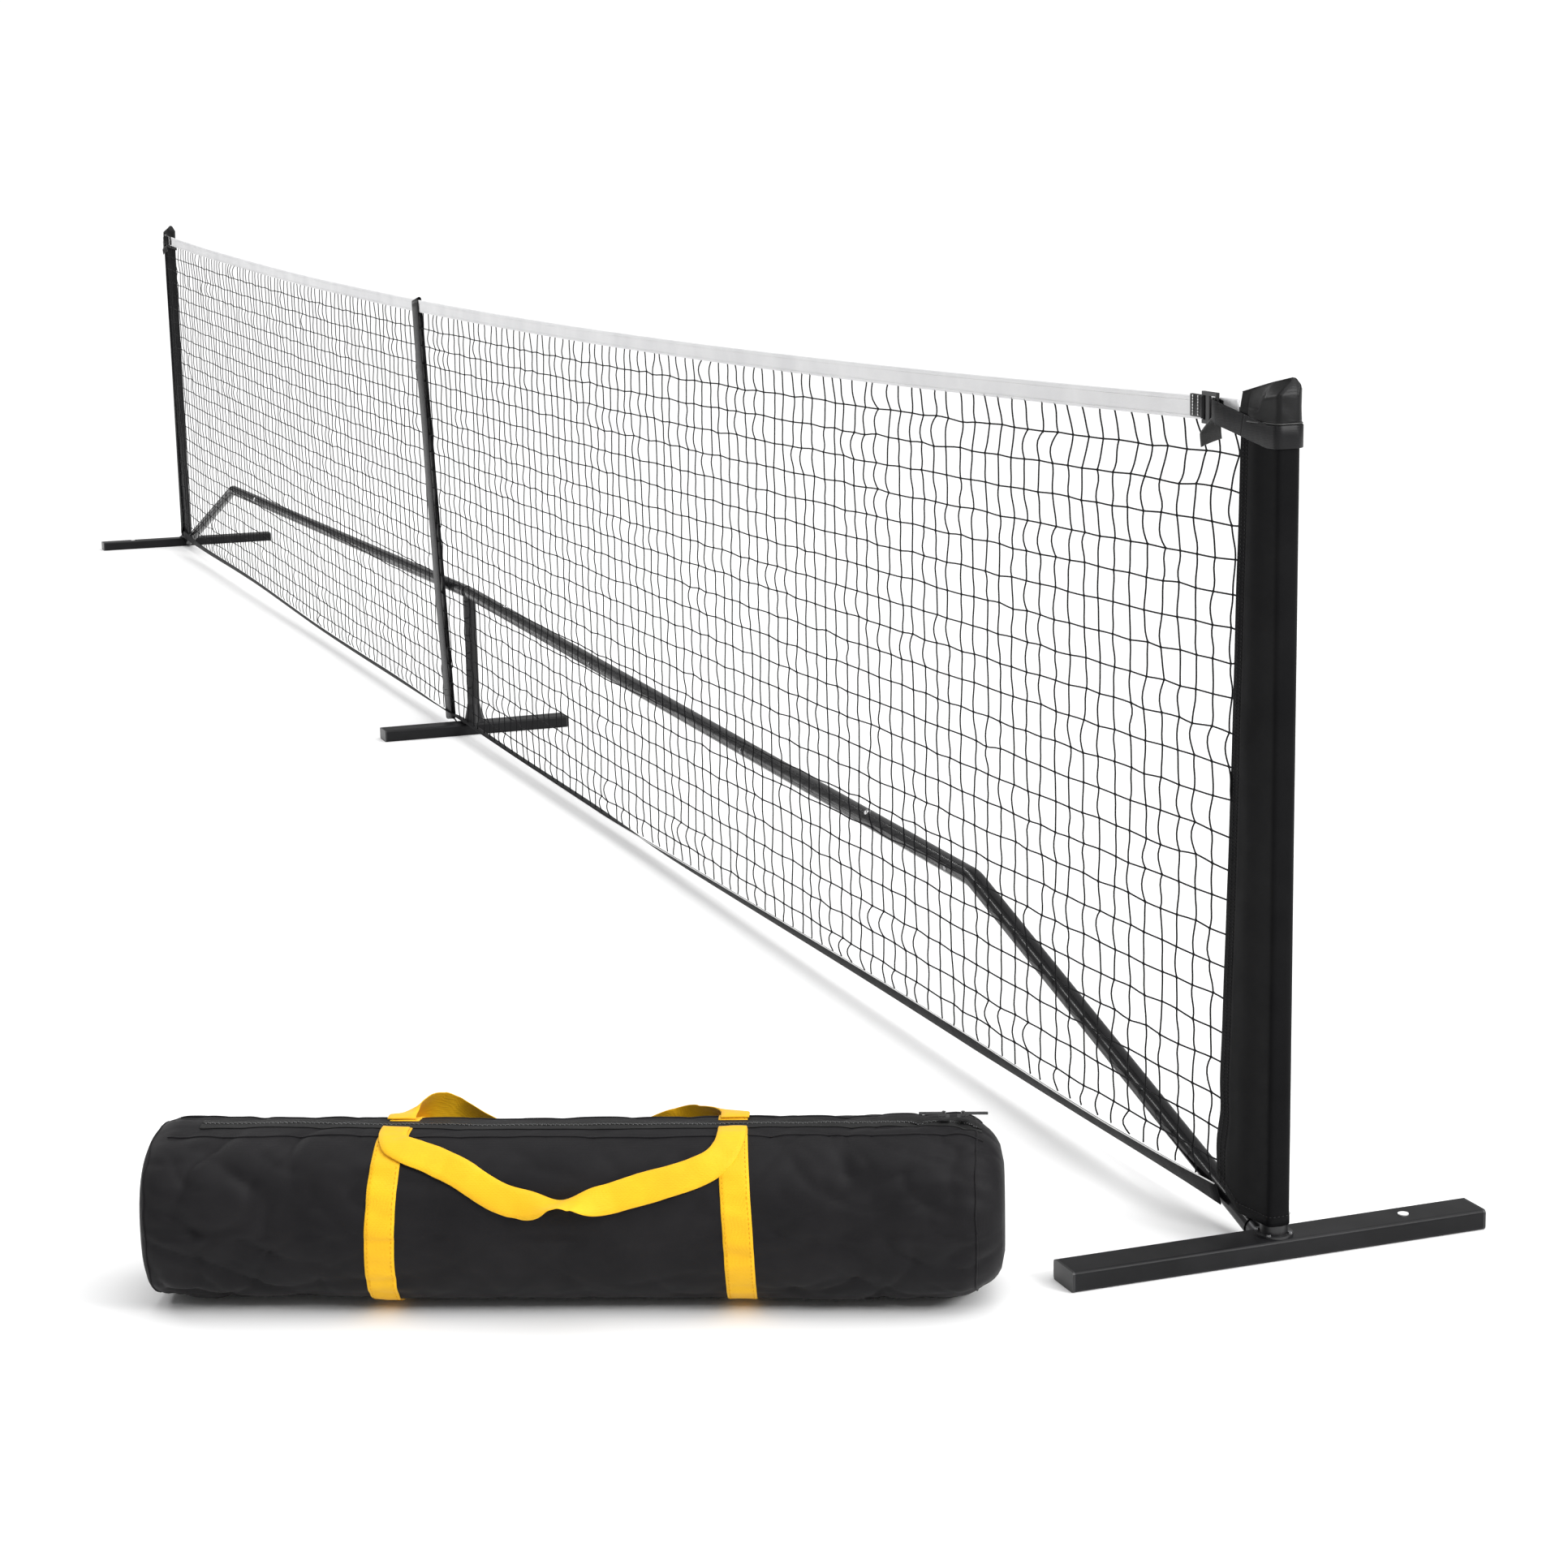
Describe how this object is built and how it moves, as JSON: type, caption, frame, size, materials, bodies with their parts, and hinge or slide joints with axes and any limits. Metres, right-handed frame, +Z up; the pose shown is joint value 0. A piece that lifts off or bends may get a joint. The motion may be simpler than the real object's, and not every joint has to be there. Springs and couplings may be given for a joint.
{
  "type": "portable court net set",
  "caption": "Portable court net: bent tube frame on flat feet, sleeved posts, black netting under a white top tape, tension straps, centre strap and a zipped carry bag.",
  "frame": {"origin": "centre of the middle foot's underside, on the ground", "axes": "+X along the net to the end where the bag lies, -Y toward the side on which the net hangs in front of the frame, +Z up"},
  "size_m": [6.8019, 1.4165, 0.944],
  "materials": {
    "foot_satin": "satin",
    "tube_gloss": "gloss",
    "tube_steel": "satin",
    "spring_steel": "polished",
    "black_plastic": "matte",
    "white_plastic": "matte",
    "screw_metal": "gloss",
    "twine": "matte",
    "tape_white": "matte",
    "hem_black": "matte",
    "sleeve_black": "matte",
    "webbing_black": "satin",
    "bag_polyester": "matte",
    "webbing_yellow": "matte",
    "zip_black": "gloss"
  },
  "bodies": {
    "net_set": {"arm_stubs": "tube_steel", "base_collars": "black_plastic", "bottom_hem": "hem_black", "button_springs": "spring_steel", "centre_foot": "foot_satin", "centre_hook": "screw_metal", "centre_strap": "webbing_black", "collar_screws": "screw_metal", "far_arm": "tube_gloss", "far_cap": "sleeve_black", "far_crossbar_inner": "tube_gloss", "far_crossbar_middle": "tube_gloss", "far_crossbar_outer": "tube_gloss", "far_foot": "foot_satin", "far_post": "tube_gloss", "far_sleeve": "sleeve_black", "far_tension_strap": "webbing_black", "foot_end_caps": "black_plastic", "foot_hole_plugs": "white_plastic", "insert_rivets": "screw_metal", "joint_inserts": "tube_steel", "near_arm": "tube_gloss", "near_cap": "sleeve_black", "near_crossbar_inner": "tube_gloss", "near_crossbar_middle": "tube_gloss", "near_crossbar_outer": "tube_gloss", "near_foot": "foot_satin", "near_post": "tube_gloss", "near_sleeve": "sleeve_black", "near_tension_strap": "webbing_black", "net_mesh": "twine", "post_stubs": "tube_steel", "post_top_plugs": "black_plastic", "strap_tabs": "webbing_black", "tee_crosspiece": "tube_steel", "top_tape": "tape_white", "upright": "tube_gloss", "upright_base": "black_plastic"},
    "near_button_tee": {"near_snap_button_tee": "spring_steel"},
    "near_button_inner": {"near_snap_button_inner": "spring_steel"},
    "near_button_middle": {"near_snap_button_middle": "spring_steel"},
    "near_button_outer": {"near_snap_button_outer": "spring_steel"},
    "far_button_tee": {"far_snap_button_tee": "spring_steel"},
    "far_button_inner": {"far_snap_button_inner": "spring_steel"},
    "far_button_middle": {"far_snap_button_middle": "spring_steel"},
    "far_button_outer": {"far_snap_button_outer": "spring_steel"},
    "near_buckle": {"near_buckle": "black_plastic", "near_strap_tail": "webbing_black"},
    "far_buckle": {"far_buckle": "black_plastic", "far_strap_tail": "webbing_black"},
    "bag": {"bag_body": "bag_polyester", "bag_bands": "webbing_yellow", "bag_zip_tape": "zip_black"},
    "front_handle": {"front_handle": "webbing_yellow"},
    "back_handle": {"back_handle": "webbing_yellow"},
    "zip_slider_a": {"zip_slider_a": "zip_black"},
    "zip_slider_b": {"zip_slider_b": "zip_black"},
    "zip_pull_a": {"zip_pull_a": "zip_black"},
    "zip_pull_b": {"zip_pull_b": "zip_black"}
  },
  "joints": [
    {"name": "near_button_tee_press", "type": "slide", "parent": "net_set", "child": "near_button_tee", "axis": [-0.0172, 0, -0.9999], "range_m": [0, 0.0045], "stiffness_N_per_m": 2500, "springref_m": -0.001},
    {"name": "far_button_tee_press", "type": "slide", "parent": "net_set", "child": "far_button_tee", "axis": [0.0172, 0, -0.9999], "range_m": [0, 0.0045], "stiffness_N_per_m": 2500, "springref_m": -0.001},
    {"name": "near_button_inner_press", "type": "slide", "parent": "net_set", "child": "near_button_inner", "axis": [-0.0059, -0.9397, -0.342], "range_m": [0, 0.0045], "stiffness_N_per_m": 2500, "springref_m": -0.001},
    {"name": "far_button_inner_press", "type": "slide", "parent": "net_set", "child": "far_button_inner", "axis": [0.0059, -0.9397, -0.342], "range_m": [0, 0.0045], "stiffness_N_per_m": 2500, "springref_m": -0.001},
    {"name": "near_button_middle_press", "type": "slide", "parent": "net_set", "child": "near_button_middle", "axis": [-0.0059, -0.9397, -0.342], "range_m": [0, 0.0045], "stiffness_N_per_m": 2500, "springref_m": -0.001},
    {"name": "far_button_middle_press", "type": "slide", "parent": "net_set", "child": "far_button_middle", "axis": [0.0059, -0.9397, -0.342], "range_m": [0, 0.0045], "stiffness_N_per_m": 2500, "springref_m": -0.001},
    {"name": "near_button_outer_press", "type": "slide", "parent": "net_set", "child": "near_button_outer", "axis": [-0.0156, 0.4226, -0.9062], "range_m": [0, 0.0045], "stiffness_N_per_m": 2500, "springref_m": -0.001},
    {"name": "far_button_outer_press", "type": "slide", "parent": "net_set", "child": "far_button_outer", "axis": [0.0073, 0.9063, -0.4226], "range_m": [0, 0.0045], "stiffness_N_per_m": 2500, "springref_m": -0.001},
    {"name": "near_buckle_tilt", "type": "hinge", "parent": "net_set", "child": "near_buckle", "pos_m": [3.232, -0.028, 0.905], "axis": [0, 0, -1], "range_deg": [0, 35]},
    {"name": "far_buckle_tilt", "type": "hinge", "parent": "net_set", "child": "far_buckle", "pos_m": [-3.232, -0.028, 0.905], "axis": [0, 0, 1], "range_deg": [0, 35]},
    {"name": "bag_lift", "type": "slide", "parent": "net_set", "child": "bag", "axis": [0, 0, 1], "range_m": [0, 0.3]},
    {"name": "front_handle_swing", "type": "hinge", "parent": "bag", "child": "front_handle", "pos_m": [3.21925, -0.7463, 0.1803], "axis": [-0.3931, -0.9195, 0], "range_deg": [0, 150]},
    {"name": "back_handle_swing", "type": "hinge", "parent": "bag", "child": "back_handle", "pos_m": [3.11775, -0.7029, 0.1803], "axis": [0.3931, 0.9195, 0], "range_deg": [0, 150]},
    {"name": "zip_a_travel", "type": "slide", "parent": "bag", "child": "zip_slider_a", "axis": [-0.3931, -0.9195, 0], "range_m": [0, 0.77]},
    {"name": "zip_b_travel", "type": "slide", "parent": "bag", "child": "zip_slider_b", "axis": [0.3931, 0.9195, 0], "range_m": [0, 0.012]},
    {"name": "zip_pull_a_flip", "type": "hinge", "parent": "zip_slider_a", "child": "zip_pull_a", "pos_m": [3.31986, -0.3706, 0.1961], "axis": [-0.9195, 0.3931, 0], "range_deg": [0, 95]},
    {"name": "zip_pull_b_flip", "type": "hinge", "parent": "zip_slider_b", "child": "zip_pull_b", "pos_m": [3.32772, -0.35221, 0.1961], "axis": [0.9195, -0.3931, 0], "range_deg": [0, 95]}
  ]
}
